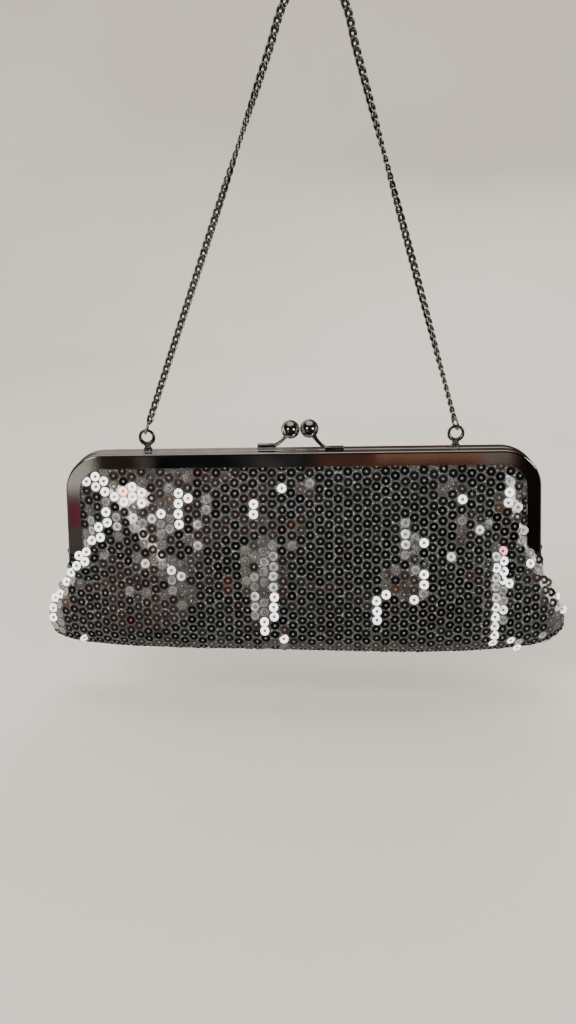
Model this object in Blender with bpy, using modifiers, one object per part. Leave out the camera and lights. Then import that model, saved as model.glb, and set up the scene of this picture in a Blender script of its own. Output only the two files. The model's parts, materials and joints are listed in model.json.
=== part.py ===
"""A framed clutch purse: kiss clasp frame, sequin cloth, satin lining and a chain handle.

Metres, +Z up. The origin is the top of the chain, where it is held. The front faces -Y.
Each purse piece is modelled about the hinge axis: x from the middle of the frame, y from
the seam between the half frames, z from the rivets. Empties then put it in its place.
"""

import math

import bmesh
import bpy
from mathutils import Vector

# Where the purse hangs under the chain's top
PURSE_X = -0.0086
FRAME_TOP_Z = -0.1900

# Half frame: a U channel, open towards the cloth
FRAME_HEIGHT = 0.0540  # from the rivets to the top of the frame
HALF_WIDTH_TOP = 0.1102
LEG_SLOPE = 0.080  # how far the legs spread for each unit down
CORNER_RADIUS = 0.0190
CHANNEL_WIDTH = 0.0053  # front to back, one half
CHANNEL_HEIGHT = 0.0068
CHANNEL_WALL = 0.0005
CHANNEL_ROUND = 0.0007
SEAM_GAP = 0.0003  # between the closed half frames
LEG_END_Z = 0.0040  # the channel stops above the rivet
CORNER_STEPS = 8

# Rivets and the ears that they join
EAR_RADIUS = 0.0026
EAR_THICKNESS = 0.0006
EAR_TOP_Z = 0.0065
RIVET_RADIUS = 0.0010
RIVET_HOLE_RADIUS = 0.00106
RIVET_STEPS = 20
PART_GAP = 0.0003
BRAZED_GAP = 0.0001  # between pieces brazed together

# Kiss clasp
BALL_RADIUS = 0.0042
BALL_X = 0.00438
BALL_Y = 0.0005  # each ball has passed the seam to the other side
BALL_Z = 0.0099  # above the frame
CLASP_FOOT = (0.0088, 0.0030, 0.0022)
CLASP_FOOT_X = 0.0158
STEM_RADIUS = 0.0010

# Chain loops, end links and chain
LOOP_X = 0.0723
LOOP_RADIUS = 0.00325
LOOP_WIRE_RADIUS = 0.00065
LOOP_Z = 0.0063  # above the frame
LOOP_FOOT_RADIUS = 0.0015
LOOP_FOOT_HEIGHT = 0.0009
LOOP_NECK_RADIUS = 0.0009
END_LINK_WIRE_RADIUS = 0.00055
END_LINK_HALF_LENGTH = 0.0032
END_LINK_HALF_WIDTH = 0.0022
END_LINK_TURN = {"left": 12.0, "right": 22.0}  # degrees about the chain's direction
CHAIN_RADIUS = 0.0018
CHAIN_STEPS = 56
CHAIN_ROUTE = [
    (-0.0787, 0.0, -0.1751),
    (-0.0560, 0.0, -0.1190),
    (-0.0335, 0.0, -0.0632),
    (-0.0180, 0.0, -0.0247),
    (-0.0112, 0.0, -0.0080),
    (-0.0070, 0.0, -0.0022),
    (0.0, 0.0, 0.0),
    (0.0070, 0.0, -0.0022),
    (0.0115, 0.0, -0.0086),
    (0.0164, 0.0, -0.0250),
    (0.0281, 0.0, -0.0634),
    (0.0448, 0.0, -0.1183),
    (0.0620, 0.0, -0.1750),
]

# Cloth and lining
CLOTH_THICKNESS = 0.0008
LINING_THICKNESS = 0.0004
CLOTH_HEM_Y = 0.00425  # from the seam to the cloth's hem in the channel
LINING_HEM_Y = 0.0032
HEM_DEPTH = 0.0020  # from the frame's outline to the edge of the hem
BELLY_Y = 0.0206  # how far the cloth stands out where panel and pouch meet
SEAM_Z = -0.0100  # where panel and pouch meet
SEAM_RISE = 0.0080  # how much higher the panel ends beside the rivets
SEAM_RISE_FROM_X = 0.076
SEAM_RISE_WIDTH = 0.024
LIP_DEPTH = 0.0078  # from the frame's outline to where the cloth leaves the channel
TOP_ROW_SHARE = 0.93  # the hem's top corners, inside the frame's round corners
LINING_TOP_Z = -0.0140
POUCH_BOTTOM_Z = -0.0460
RIM_HALF_WIDTH = 0.1190
RIM_HALF_DEPTH = 0.0221
WIDEST_HALF_WIDTH = 0.1280
WIDEST_AT = 0.62  # share of the way from the pouch's rim to its base
BASE_TAPER = 0.0170
ROUND_FROM = 0.30
LINING_INSET = 0.0022
LINING_STEP = 0.0011  # the lining's panels lie this much inside the cloth's
PANEL_COLUMNS = 20
PANEL_ROWS = 9
POUCH_COLUMNS = 40
POUCH_ROWS = 8

# Paper cord pressed into the channel
PAPER_CORD_RADIUS = 0.00075
PAPER_CORD_Y = 0.00175
PAPER_CORD_DEPTH = 0.0024

# Derived places
MID_Y = -(SEAM_GAP + CHANNEL_WIDTH) / 2  # the loops on the back half stand under the chain
HINGE_Z = FRAME_TOP_Z - FRAME_HEIGHT
SWING_Z = FRAME_TOP_Z + LOOP_Z + LOOP_RADIUS
HALF_WIDTH_HINGE = HALF_WIDTH_TOP + LEG_SLOPE * FRAME_HEIGHT
HALF_CENTRE_Y = (SEAM_GAP + CHANNEL_WIDTH) / 2
EAR_NEAR_Y = HALF_CENTRE_Y - 0.0003  # the ear's top, inside the channel's width
EAR_FAR_Y = SEAM_GAP / 2 + CHANNEL_WIDTH - 0.00025
MERGE = 0.00001


# Scene and collections


def clear_scene():
    for obj in list(bpy.data.objects):
        bpy.data.objects.remove(obj, do_unlink=True)


def new_collection(name):
    collection = bpy.data.collections.new(name)
    bpy.context.scene.collection.children.link(collection)
    return collection


clear_scene()
PARTS = new_collection("clutch_purse")
CUTTERS = new_collection("cutters")


def new_axis(name, location, parent=None):
    axis = bpy.data.objects.new(name, None)
    axis.empty_display_size = 0.01
    axis.parent = parent
    axis.location = location
    PARTS.objects.link(axis)
    return axis


# Materials


def principled(name, colour, metallic, roughness):
    material = bpy.data.materials.new(name)
    material.use_nodes = True
    shader = material.node_tree.nodes["Principled BSDF"]
    shader.inputs["Base Color"].default_value = (*colour, 1.0)
    shader.inputs["Metallic"].default_value = metallic
    shader.inputs["Roughness"].default_value = roughness
    material.diffuse_color = (*colour, 1.0)
    return material


CHROME = principled("frame_nickel", (0.72, 0.71, 0.70), 1.0, 0.10)
CHAIN_METAL = principled("chain_nickel", (0.55, 0.54, 0.53), 1.0, 0.22)
SEQUIN_CLOTH = principled("sequin_cloth", (0.12, 0.12, 0.13), 0.6, 0.35)
SATIN = principled("satin_lining", (0.10, 0.10, 0.11), 0.0, 0.45)
PAPER = principled("paper_cord", (0.62, 0.52, 0.38), 0.0, 0.85)


# Helpers


def add_object(name, mesh, material, collection=PARTS):
    obj = bpy.data.objects.new(name, mesh)
    mesh.materials.clear()
    mesh.materials.append(material)
    collection.objects.link(obj)
    return obj


def mesh_object(name, bm, material, collection=PARTS):
    mesh = bpy.data.meshes.new(name)
    bmesh.ops.recalc_face_normals(bm, faces=bm.faces)
    bm.to_mesh(mesh)
    bm.free()
    return add_object(name, mesh, material, collection)


def smooth(obj, degrees=35.0):
    obj.data.shade_smooth()
    obj.data.set_sharp_from_angle(angle=math.radians(degrees))


def put(obj, parent, location=(0.0, 0.0, 0.0)):
    obj.parent = parent
    obj.location = location
    return obj


def poly_spline(curve, points, cyclic=False):
    spline = curve.splines.new("POLY")
    spline.points.add(len(points) - 1)
    for point, place in zip(spline.points, points):
        point.co = (*place, 1.0)
    spline.use_cyclic_u = cyclic
    return spline


def wire(name, points, radius, material, cyclic=False, resolution=2):
    curve = bpy.data.curves.new(name, "CURVE")
    curve.dimensions = "3D"
    curve.bevel_depth = radius
    curve.bevel_resolution = resolution
    curve.use_fill_caps = not cyclic
    poly_spline(curve, points, cyclic)
    obj = bpy.data.objects.new(name, curve)
    curve.materials.append(material)
    PARTS.objects.link(obj)
    return obj


def curve_to_mesh(obj, material):
    """A closed mesh object in place of a curve object."""
    bpy.context.view_layer.update()
    depsgraph = bpy.context.evaluated_depsgraph_get()
    mesh = bpy.data.meshes.new_from_object(obj.evaluated_get(depsgraph))
    bm = bmesh.new()
    bm.from_mesh(mesh)
    bm.transform(obj.matrix_world)
    bmesh.ops.remove_doubles(bm, verts=bm.verts, dist=MERGE)
    name = obj.name
    bpy.data.objects.remove(obj, do_unlink=True)
    return mesh_object(name, bm, material)


def as_cutter(obj):
    for collection in obj.users_collection:
        collection.objects.unlink(obj)
    CUTTERS.objects.link(obj)
    obj.hide_render = True
    obj.display_type = "WIRE"
    return obj


def boolean(obj, other, operation):
    other.parent = obj
    modifier = obj.modifiers.new(operation.lower(), "BOOLEAN")
    modifier.operation = operation
    modifier.solver = "EXACT"
    modifier.object = as_cutter(other)


def block(name, size, centre, material, bevel=0.0):
    bm = bmesh.new()
    bmesh.ops.create_cube(bm, size=1.0)
    bmesh.ops.scale(bm, vec=size, verts=bm.verts)
    bmesh.ops.translate(bm, vec=centre, verts=bm.verts)
    if bevel:
        bmesh.ops.bevel(bm, geom=bm.edges[:], offset=bevel, segments=2, profile=0.5, affect="EDGES")
    return mesh_object(name, bm, material)


def cylinder(name, radius, length, centre, axis, material, steps=RIVET_STEPS):
    bm = bmesh.new()
    bmesh.ops.create_cone(
        bm, cap_ends=True, segments=steps, radius1=radius, radius2=radius, depth=length
    )
    turn = Vector((0, 0, 1)).rotation_difference(Vector(axis)).to_matrix()
    bmesh.ops.rotate(bm, matrix=turn, verts=bm.verts)
    bmesh.ops.translate(bm, vec=centre, verts=bm.verts)
    return mesh_object(name, bm, material)


def turned(name, profile, steps, material):
    """A profile of (radius, height) points, top to bottom, turned about Z."""
    bm = bmesh.new()
    verts = [bm.verts.new((radius, 0.0, height)) for radius, height in profile]
    for first, second in zip(verts, verts[1:]):
        bm.edges.new((first, second))
    mesh = bpy.data.meshes.new(name)
    bm.to_mesh(mesh)
    bm.free()
    obj = add_object(name, mesh, material)
    screw = obj.modifiers.new("turn", "SCREW")
    screw.steps = steps
    screw.render_steps = steps
    screw.use_merge_vertices = True
    screw.merge_threshold = MERGE
    screw.use_smooth_shade = True
    return obj


def mapped_grid(columns, rows, place):
    """A grid of unit squares whose points (u, v) in 0..1 go to place(u, v)."""
    bm = bmesh.new()
    bmesh.ops.create_grid(bm, x_segments=columns, y_segments=rows, size=0.5)
    for vert in bm.verts:
        vert.co = place(vert.co.x + 0.5, vert.co.y + 0.5)
    return bm


def solidify(obj, thickness, offset):
    modifier = obj.modifiers.new("thickness", "SOLIDIFY")
    modifier.thickness = thickness
    modifier.offset = offset
    modifier.use_even_offset = True


def smoothstep(value):
    t = min(max(value, 0.0), 1.0)
    return t * t * (3.0 - 2.0 * t)


# The outline of the frame, seen from the front


def leg_x(z):
    return HALF_WIDTH_TOP + LEG_SLOPE * (FRAME_HEIGHT - z)


def frame_outline(inset, end_z):
    """Points of the frame's outline, moved in by inset, from the left leg to the right."""
    lean = math.atan(LEG_SLOPE)
    radius = CORNER_RADIUS - inset
    centre_z = FRAME_HEIGHT - CORNER_RADIUS
    centre_x = leg_x(centre_z) - CORNER_RADIUS / math.cos(lean)
    half = [(leg_x(end_z) - inset / math.cos(lean), end_z)]
    for step in range(CORNER_STEPS + 1):
        angle = lean + (math.pi / 2 - lean) * step / CORNER_STEPS
        half.append((centre_x + radius * math.cos(angle), centre_z + radius * math.sin(angle)))
    left = [(-x, z) for x, z in half]
    return left + half[::-1]


def half_width(z, inset):
    """Half the width of the frame's outline at height z, moved in by inset."""
    lean = math.atan(LEG_SLOPE)
    centre_z = FRAME_HEIGHT - CORNER_RADIUS
    centre_x = leg_x(centre_z) - CORNER_RADIUS / math.cos(lean)
    radius = CORNER_RADIUS - inset
    rise = z - centre_z
    if rise <= radius * math.sin(lean):
        return leg_x(z) - inset / math.cos(lean)
    return centre_x + math.sqrt(max(radius * radius - rise * rise, 0.0))


# Half frames


def channel_profile():
    """The U section as a closed curve: x is the depth from the outline, y across the half."""
    half = CHANNEL_WIDTH / 2
    inner = half - CHANNEL_WALL
    bend = CHANNEL_ROUND
    side = [
        (CHANNEL_HEIGHT, inner),
        (CHANNEL_HEIGHT, half),
        (bend, half),
        (bend * 0.3, half - bend * 0.3),
        (0.0, half - bend),
    ]
    points = [(CHANNEL_WALL, inner)] + side
    points += [(x, -y) for x, y in points[::-1]]
    curve = bpy.data.curves.new("channel_profile", "CURVE")
    curve.dimensions = "2D"
    poly_spline(curve, [(x, y, 0.0) for x, y in points], cyclic=True)
    obj = bpy.data.objects.new("channel_profile", curve)
    PARTS.objects.link(obj)
    return as_cutter(obj)


def swept_channel(name, facing, profile):
    curve = bpy.data.curves.new(name, "CURVE")
    curve.dimensions = "2D"
    curve.bevel_mode = "OBJECT"
    curve.bevel_object = profile
    curve.use_fill_caps = True
    poly_spline(curve, [(x, z, 0.0) for x, z in frame_outline(0.0, LEG_END_Z)])
    obj = bpy.data.objects.new(name, curve)
    obj.location = (0.0, facing * HALF_CENTRE_Y, 0.0)
    obj.rotation_euler = (math.pi / 2, 0.0, 0.0)
    PARTS.objects.link(obj)
    return curve_to_mesh(obj, CHROME)


def ear(name, side, facing, outer_x):
    """The flat end of one leg, round about the rivet."""
    outline = [
        (facing * EAR_NEAR_Y, EAR_TOP_Z),
        (facing * EAR_FAR_Y, EAR_TOP_Z),
    ]
    for step in range(RIVET_STEPS):
        angle = 2 * math.pi * step / RIVET_STEPS
        outline.append((EAR_RADIUS * math.cos(angle), EAR_RADIUS * math.sin(angle)))
    bm = bmesh.new()
    for x in (side * (outer_x - EAR_THICKNESS), side * outer_x):
        for y, z in outline:
            bm.verts.new((x, y, z))
    hull = bmesh.ops.convex_hull(bm, input=bm.verts)
    bmesh.ops.delete(bm, geom=hull["geom_interior"], context="VERTS")
    return mesh_object(name, bm, CHROME)


def half_frame(name, facing, ear_outer_x, profile):
    """One half of the frame: the swept channel, its two ears and their rivet holes."""
    frame = swept_channel(name, facing, profile)
    for side, word in ((-1, "left"), (1, "right")):
        boolean(frame, ear(f"{name}_{word}_ear", side, facing, ear_outer_x), "UNION")
    for side, word in ((-1, "left"), (1, "right")):
        centre = (side * (ear_outer_x - EAR_THICKNESS / 2), 0.0, 0.0)
        hole = cylinder(
            f"{name}_{word}_hole", RIVET_HOLE_RADIUS, 0.002, centre, (1, 0, 0), CHROME
        )
        boolean(frame, hole, "DIFFERENCE")
    smooth(frame)
    return frame


def hinge_rivet(name, side):
    outer = HALF_WIDTH_HINGE + PART_GAP
    inner = HALF_WIDTH_HINGE - 2 * EAR_THICKNESS - 2 * PART_GAP
    head = 0.0021
    peened = 0.0017
    profile = [
        (0.0, outer + 0.0010),
        (head * 0.55, outer + 0.00085),
        (head * 0.90, outer + 0.0005),
        (head, outer),
        (RIVET_RADIUS, outer),
        (RIVET_RADIUS, inner),
        (peened, inner),
        (peened, inner - 0.0004),
        (0.0, inner - 0.0007),
    ]
    rivet = turned(name, profile, RIVET_STEPS, CHROME)
    rivet.rotation_euler = (0.0, side * math.pi / 2, 0.0)
    return rivet


# Clasp


def clasp_arm(name, side, facing):
    """The foot on the half frame and the stem that leans over to the ball."""
    length, depth, height = CLASP_FOOT
    base_z = FRAME_HEIGHT + BRAZED_GAP
    foot_y = facing * HALF_CENTRE_Y
    centre = (side * CLASP_FOOT_X, foot_y, base_z + height / 2)
    arm = block(name, (length, depth, height), centre, CHROME, bevel=0.0004)
    ball = Vector((side * BALL_X, -facing * BALL_Y, FRAME_HEIGHT + BALL_Z))
    start = Vector((side * (CLASP_FOOT_X - length / 2 + 0.0006), foot_y, base_z + height / 2))
    bend = Vector((side * 0.0092, foot_y * 0.85, FRAME_HEIGHT + 0.0026))
    reach = (bend - ball).normalized()
    end = ball + reach * (BALL_RADIUS + 0.00015)
    points = []
    for step in range(9):
        t = step / 8
        points.append((1 - t) ** 2 * start + 2 * t * (1 - t) * bend + t * t * end)
    stem = wire(f"{name}_stem", points, STEM_RADIUS, CHROME)
    boolean(arm, curve_to_mesh(stem, CHROME), "UNION")
    smooth(arm)
    return arm


def clasp_ball(name, side, facing):
    bm = bmesh.new()
    bmesh.ops.create_uvsphere(bm, u_segments=20, v_segments=14, radius=BALL_RADIUS)
    centre = (side * BALL_X, -facing * BALL_Y, FRAME_HEIGHT + BALL_Z)
    bmesh.ops.translate(bm, vec=centre, verts=bm.verts)
    ball = mesh_object(name, bm, CHROME)
    ball.data.shade_smooth()
    return ball


# Chain loops, end links and chain


def chain_loop(name, side):
    """A ring that faces the front, on a small round foot."""
    steps = 24
    centre = Vector((side * LOOP_X, HALF_CENTRE_Y, FRAME_HEIGHT + LOOP_Z))
    points = []
    for step in range(steps):
        angle = 2 * math.pi * step / steps
        spoke = Vector((math.cos(angle), 0.0, math.sin(angle)))
        points.append(centre + LOOP_RADIUS * spoke)
    ring = curve_to_mesh(wire(name, points, LOOP_WIRE_RADIUS, CHROME, cyclic=True), CHROME)
    base_z = FRAME_HEIGHT + BRAZED_GAP
    neck_top = FRAME_HEIGHT + LOOP_Z - LOOP_RADIUS
    up = (0, 0, 1)
    foot_centre = (centre.x, centre.y, base_z + LOOP_FOOT_HEIGHT / 2)
    foot = cylinder(f"{name}_foot", LOOP_FOOT_RADIUS, LOOP_FOOT_HEIGHT, foot_centre, up, CHROME, 16)
    neck_centre = (centre.x, centre.y, (base_z + neck_top) / 2)
    neck_size = (LOOP_NECK_RADIUS, neck_top - base_z)
    neck = cylinder(f"{name}_neck", *neck_size, neck_centre, up, CHROME, 16)
    boolean(ring, foot, "UNION")
    boolean(ring, neck, "UNION")
    smooth(ring)
    return ring


def end_link(name, side):
    """An oval link through the loop, in line with its run of chain."""
    hook = Vector((PURSE_X + side * LOOP_X, 0.0, SWING_Z))
    start = Vector(CHAIN_ROUTE[0] if side < 0 else CHAIN_ROUTE[-1])
    along = (start - hook).normalized()
    turn = math.radians(END_LINK_TURN["left" if side < 0 else "right"])
    across = Vector((0.0, 1.0, 0.0)) * math.cos(turn)
    across += along.cross(Vector((0.0, 1.0, 0.0))) * math.sin(turn)
    drop = LOOP_WIRE_RADIUS + PART_GAP + END_LINK_WIRE_RADIUS
    centre = hook + along * (END_LINK_HALF_LENGTH - drop)
    steps = 20
    points = []
    for step in range(steps):
        angle = 2 * math.pi * step / steps
        reach = along * (END_LINK_HALF_LENGTH * math.cos(angle))
        points.append(centre + reach + across * (END_LINK_HALF_WIDTH * math.sin(angle)))
    return wire(name, points, END_LINK_WIRE_RADIUS, CHAIN_METAL, cyclic=True)


def smooth_route(points, count):
    """Evenly spaced points on a smooth curve through the given ones."""
    knots = [Vector(point) for point in points]
    lengths = [(b - a).length for a, b in zip(knots, knots[1:])]
    tangents = []
    for index in range(len(knots)):
        before = (knots[index] - knots[index - 1]) / lengths[index - 1] if index else None
        last = index == len(knots) - 1
        after = None if last else (knots[index + 1] - knots[index]) / lengths[index]
        if before is None or after is None:
            tangents.append(after or before)
            continue
        a, b = lengths[index - 1], lengths[index]
        tangents.append((before * b + after * a) / (a + b))
    fine = []
    for index, length in enumerate(lengths):
        for step in range(40):
            t = step / 40
            h1 = 2 * t**3 - 3 * t**2 + 1
            h2 = t**3 - 2 * t**2 + t
            h3 = 3 * t**2 - 2 * t**3
            h4 = t**3 - t**2
            point = knots[index] * h1 + tangents[index] * (h2 * length)
            fine.append(point + knots[index + 1] * h3 + tangents[index + 1] * (h4 * length))
    fine.append(knots[-1])
    travelled = [0.0]
    for a, b in zip(fine, fine[1:]):
        travelled.append(travelled[-1] + (b - a).length)
    spaced = []
    index = 0
    for step in range(count):
        goal = travelled[-1] * step / (count - 1)
        while index < len(fine) - 2 and travelled[index + 1] < goal:
            index += 1
        share = (goal - travelled[index]) / (travelled[index + 1] - travelled[index])
        spaced.append(fine[index].lerp(fine[index + 1], share))
    return spaced


# Cloth


def belly(x, z, hem_y, bulge):
    """How far a panel stands out from the seam at a point of the front view."""
    rise = (z - SEAM_Z) / (FRAME_HEIGHT - LIP_DEPTH - SEAM_Z)
    upright = 1.0 - min(max(rise, 0.0), 1.0) ** 1.5
    across = 1.0 - min(abs(x) / half_width(z, LIP_DEPTH), 1.0) ** 3
    return hem_y + (bulge - hem_y) * upright * across


def panel(name, facing, hem_y, bulge, thickness, material):
    """One upper face of the bag: its top row and side columns are the hem in the channel."""
    last_row = 1.0 - 1.0 / PANEL_ROWS
    last_column = 1.0 - 2.0 / PANEL_COLUMNS
    lip_z = FRAME_HEIGHT - LIP_DEPTH
    top_z = FRAME_HEIGHT - HEM_DEPTH

    def place(u, v):
        side = 2.0 * u - 1.0
        low_x = abs(side) * half_width(0.0, HEM_DEPTH)
        low_z = SEAM_Z + SEAM_RISE * smoothstep((low_x - SEAM_RISE_FROM_X) / SEAM_RISE_WIDTH)
        if v <= last_row:
            z = low_z + (lip_z - low_z) * v / last_row
        else:
            z = lip_z + (top_z - lip_z) * (v - last_row) / (1.0 - last_row)
        inner = half_width(max(z, 0.0), LIP_DEPTH)
        if z > lip_z:
            inner *= TOP_ROW_SHARE
        outer = half_width(max(z, 0.0), HEM_DEPTH)
        if abs(side) <= last_column:
            x = inner * abs(side) / last_column
        else:
            x = inner + (outer - inner) * (abs(side) - last_column) / (1.0 - last_column)
        return Vector((math.copysign(x, side), facing * belly(x, z, hem_y, bulge), z))

    obj = mesh_object(name, mapped_grid(PANEL_COLUMNS, PANEL_ROWS, place), material)
    solidify(obj, thickness, 0.0)
    smooth(obj, 60.0)
    return obj


def pouch_section(depth):
    """Half width and half depth of the pouch at a depth of 0, its rim, to 1, its base."""
    half_x = RIM_HALF_WIDTH
    half_x += (WIDEST_HALF_WIDTH - RIM_HALF_WIDTH) * math.sin(math.pi / 2 * min(depth / WIDEST_AT, 1.0))
    half_x -= BASE_TAPER * (max(depth - WIDEST_AT, 0.0) / (1.0 - WIDEST_AT)) ** 2
    half_y = RIM_HALF_DEPTH + 0.001 * math.sin(math.pi * min(depth / 0.5, 1.0))
    round_base = max(depth - ROUND_FROM, 0.0) / (1.0 - ROUND_FROM)
    half_y *= math.sqrt(max(1.0 - round_base**4, 0.0))
    return half_x, half_y


def pouch_shell(name, top_z, inset, thickness, material):
    """The lower part of the bag: round about its rim and closed along the base."""
    bottom_z = POUCH_BOTTOM_Z + inset

    def place(u, v):
        z = top_z + (bottom_z - top_z) * math.sin(math.pi * (1.0 - v) / 2)
        half_x, half_y = pouch_section((SEAM_Z - z) / (SEAM_Z - bottom_z))
        half_x -= inset
        half_y = max(half_y - inset, 0.0)
        angle = 2.0 * math.pi * u
        x = math.copysign(abs(math.cos(angle)) ** 0.75, math.cos(angle))
        y = math.copysign(max(1.0 - abs(x) ** 3, 0.0) ** 0.625, math.sin(angle))
        return Vector((x * half_x, y * half_y, z))

    bm = mapped_grid(POUCH_COLUMNS, POUCH_ROWS, place)
    bmesh.ops.remove_doubles(bm, verts=bm.verts, dist=0.00005)
    obj = mesh_object(name, bm, material)
    solidify(obj, thickness, -1.0)
    smooth(obj, 60.0)
    return obj


def paper_cord(name, facing):
    y = facing * PAPER_CORD_Y
    points = [(x, y, z) for x, z in frame_outline(PAPER_CORD_DEPTH, LEG_END_Z + 0.0015)]
    return wire(name, points, PAPER_CORD_RADIUS, PAPER)


# Assembly


def build():
    hinge_drop = HINGE_Z - SWING_Z
    purse = (0.0, MID_Y, hinge_drop)
    swing_axis = new_axis("purse_swing_axis", (PURSE_X, 0.0, SWING_Z))
    pouch_axis = new_axis("frame_open_axis", purse, swing_axis)
    front_axis = new_axis("front_open_axis", (0.0, 0.0, 0.0), pouch_axis)

    profile = channel_profile()
    inner_ear_x = HALF_WIDTH_HINGE - EAR_THICKNESS - PART_GAP
    halves = (
        ("front", -1, HALF_WIDTH_HINGE, front_axis, (0.0, 0.0, 0.0)),
        ("back", 1, inner_ear_x, swing_axis, purse),
    )
    for word, facing, ear_x, axis, place in halves:
        hem = (facing, CLOTH_HEM_Y, BELLY_Y, CLOTH_THICKNESS, SEQUIN_CLOTH)
        lining_hem = (facing, LINING_HEM_Y, BELLY_Y - LINING_STEP, LINING_THICKNESS, SATIN)
        put(half_frame(f"{word}_frame_channel", facing, ear_x, profile), axis, place)
        put(panel(f"{word}_panel", *hem), axis, place)
        put(panel(f"{word}_lining", *lining_hem), axis, place)
        put(paper_cord(f"{word}_paper_cord", facing), axis, place)
        put(clasp_arm(f"{word}_clasp_arm", -facing, facing), axis, place)
        put(clasp_ball(f"{word}_clasp_ball", -facing, facing), axis, place)

    put(pouch_shell("pouch", SEAM_Z, 0.0, CLOTH_THICKNESS, SEQUIN_CLOTH), pouch_axis)
    lining = pouch_shell("pouch_lining", LINING_TOP_Z, LINING_INSET, LINING_THICKNESS, SATIN)
    put(lining, pouch_axis)

    for side, word in ((-1, "left"), (1, "right")):
        put(hinge_rivet(f"{word}_hinge_rivet", side), swing_axis, purse)
        put(chain_loop(f"{word}_chain_loop", side), swing_axis, purse)
        end_link(f"{word}_end_link", side)

    wire("chain", smooth_route(CHAIN_ROUTE, CHAIN_STEPS), CHAIN_RADIUS, CHAIN_METAL)


build()
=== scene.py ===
"""The clutch purse's looks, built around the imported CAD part.

Metres, in the part's own frame: the origin is the top of the chain, the front faces -Y.
Purse pieces are worked out about the hinge axis: x from the middle of the frame, `out` is the
distance from the seam between the half frames, and z is measured from the rivets.
"""

import json
import math

import bmesh
import bpy
import numpy as np
from mathutils import Matrix, Vector


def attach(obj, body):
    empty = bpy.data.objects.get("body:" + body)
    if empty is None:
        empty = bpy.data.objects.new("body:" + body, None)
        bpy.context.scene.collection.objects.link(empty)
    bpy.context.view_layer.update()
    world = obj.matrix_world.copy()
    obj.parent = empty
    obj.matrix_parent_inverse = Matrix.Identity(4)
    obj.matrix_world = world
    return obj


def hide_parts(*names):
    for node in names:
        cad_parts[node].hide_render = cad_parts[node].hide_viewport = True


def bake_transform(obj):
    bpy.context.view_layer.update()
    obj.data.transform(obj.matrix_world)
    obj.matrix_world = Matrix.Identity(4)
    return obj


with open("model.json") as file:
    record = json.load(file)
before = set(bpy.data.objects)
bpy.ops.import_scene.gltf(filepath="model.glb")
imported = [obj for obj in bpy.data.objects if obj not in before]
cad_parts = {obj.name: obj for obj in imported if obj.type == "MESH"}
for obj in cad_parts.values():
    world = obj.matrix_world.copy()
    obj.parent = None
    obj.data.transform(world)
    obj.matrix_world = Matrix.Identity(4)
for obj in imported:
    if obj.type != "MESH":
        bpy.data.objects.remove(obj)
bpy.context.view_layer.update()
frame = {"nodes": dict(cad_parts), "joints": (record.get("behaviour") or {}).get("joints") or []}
RNG = np.random.default_rng(41)

# Places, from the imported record
JOINTS = {joint["name"]: Vector(joint["pos_m"]) for joint in frame["joints"]}
HINGE = JOINTS["frame_open"]
SWING = JOINTS["purse_swing"]

# Half frames: the part's sizes, but for the rounder bend
FRAME_HEIGHT = 0.0540
HALF_WIDTH_TOP = 0.1102
LEG_SLOPE = 0.080
CORNER_RADIUS = 0.0190
CHANNEL_WIDTH = 0.0053
CHANNEL_HEIGHT = 0.0068
CHANNEL_WALL = 0.0005
CHANNEL_ROUND = 0.0009
SEAM_GAP = 0.0003
LEG_END_Z = 0.0040
HALF_CENTRE_Y = (SEAM_GAP + CHANNEL_WIDTH) / 2
LEAN = math.atan(LEG_SLOPE)
HALF_WIDTH_HINGE = HALF_WIDTH_TOP + LEG_SLOPE * FRAME_HEIGHT
EAR_RADIUS = 0.0026
EAR_THICKNESS = 0.0006
EAR_TOP_Z = 0.0065
PART_GAP = 0.0003

# Clasp and loops: the part's sizes, but for balls that are a hair larger and so nearly meet
BALL_RADIUS = 0.00434
BALL_X = 0.00438
BALL_Y = 0.0005
BALL_Z = 0.0099
CLASP_FOOT = (0.0088, 0.0030, 0.0022)
CLASP_FOOT_X = 0.0158
STEM_RADIUS = 0.0010
STEM_BEND_X = 0.0092
STEM_BEND_Z = 0.0026
LOOP_X = 0.0723
LOOP_RADIUS = 0.00325
LOOP_WIRE_RADIUS = 0.00065
LOOP_Z = 0.0063

# Chain and end links: the route's points are the part's
END_LINK_WIRE_RADIUS = 0.00055
END_LINK_HALF_LENGTH = 0.0032
END_LINK_HALF_WIDTH = 0.0022
END_LINK_TURN = {"left": 12.0, "right": 22.0}
CHAIN_WIDTH = 0.0036
LINK_WIRE_RADIUS = 0.00067
LINK_PITCH = 0.0036
LINK_WOBBLES = 151  # drawn for the links, which are fewer
LINK_PLAY = 0.00003
LINK_TWIST = math.radians(110.0)
LINK_SIDES = 10
LINK_STEPS = 20
CHAIN_ROUTE = [
    (-0.0787, 0.0, -0.1751),
    (-0.0560, 0.0, -0.1190),
    (-0.0335, 0.0, -0.0632),
    (-0.0180, 0.0, -0.0247),
    (-0.0112, 0.0, -0.0080),
    (-0.0070, 0.0, -0.0022),
    (0.0, 0.0, 0.0),
    (0.0070, 0.0, -0.0022),
    (0.0115, 0.0, -0.0086),
    (0.0164, 0.0, -0.0250),
    (0.0281, 0.0, -0.0634),
    (0.0448, 0.0, -0.1183),
    (0.0620, 0.0, -0.1750),
]

# Camera
CAMERA_PLACE = Vector((0.0017, -0.3634, -0.0875))
CAMERA_YAW = math.radians(2.66)
CAMERA_PITCH = math.radians(20.30)
CAMERA_ROLL = math.radians(-1.45)
CAMERA_LENS = 28.125


# Small helpers


def smoothstep(value, low=0.0, high=1.0):
    t = np.clip((value - low) / (high - low), 0.0, 1.0)
    return t * t * (3.0 - 2.0 * t)


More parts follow.
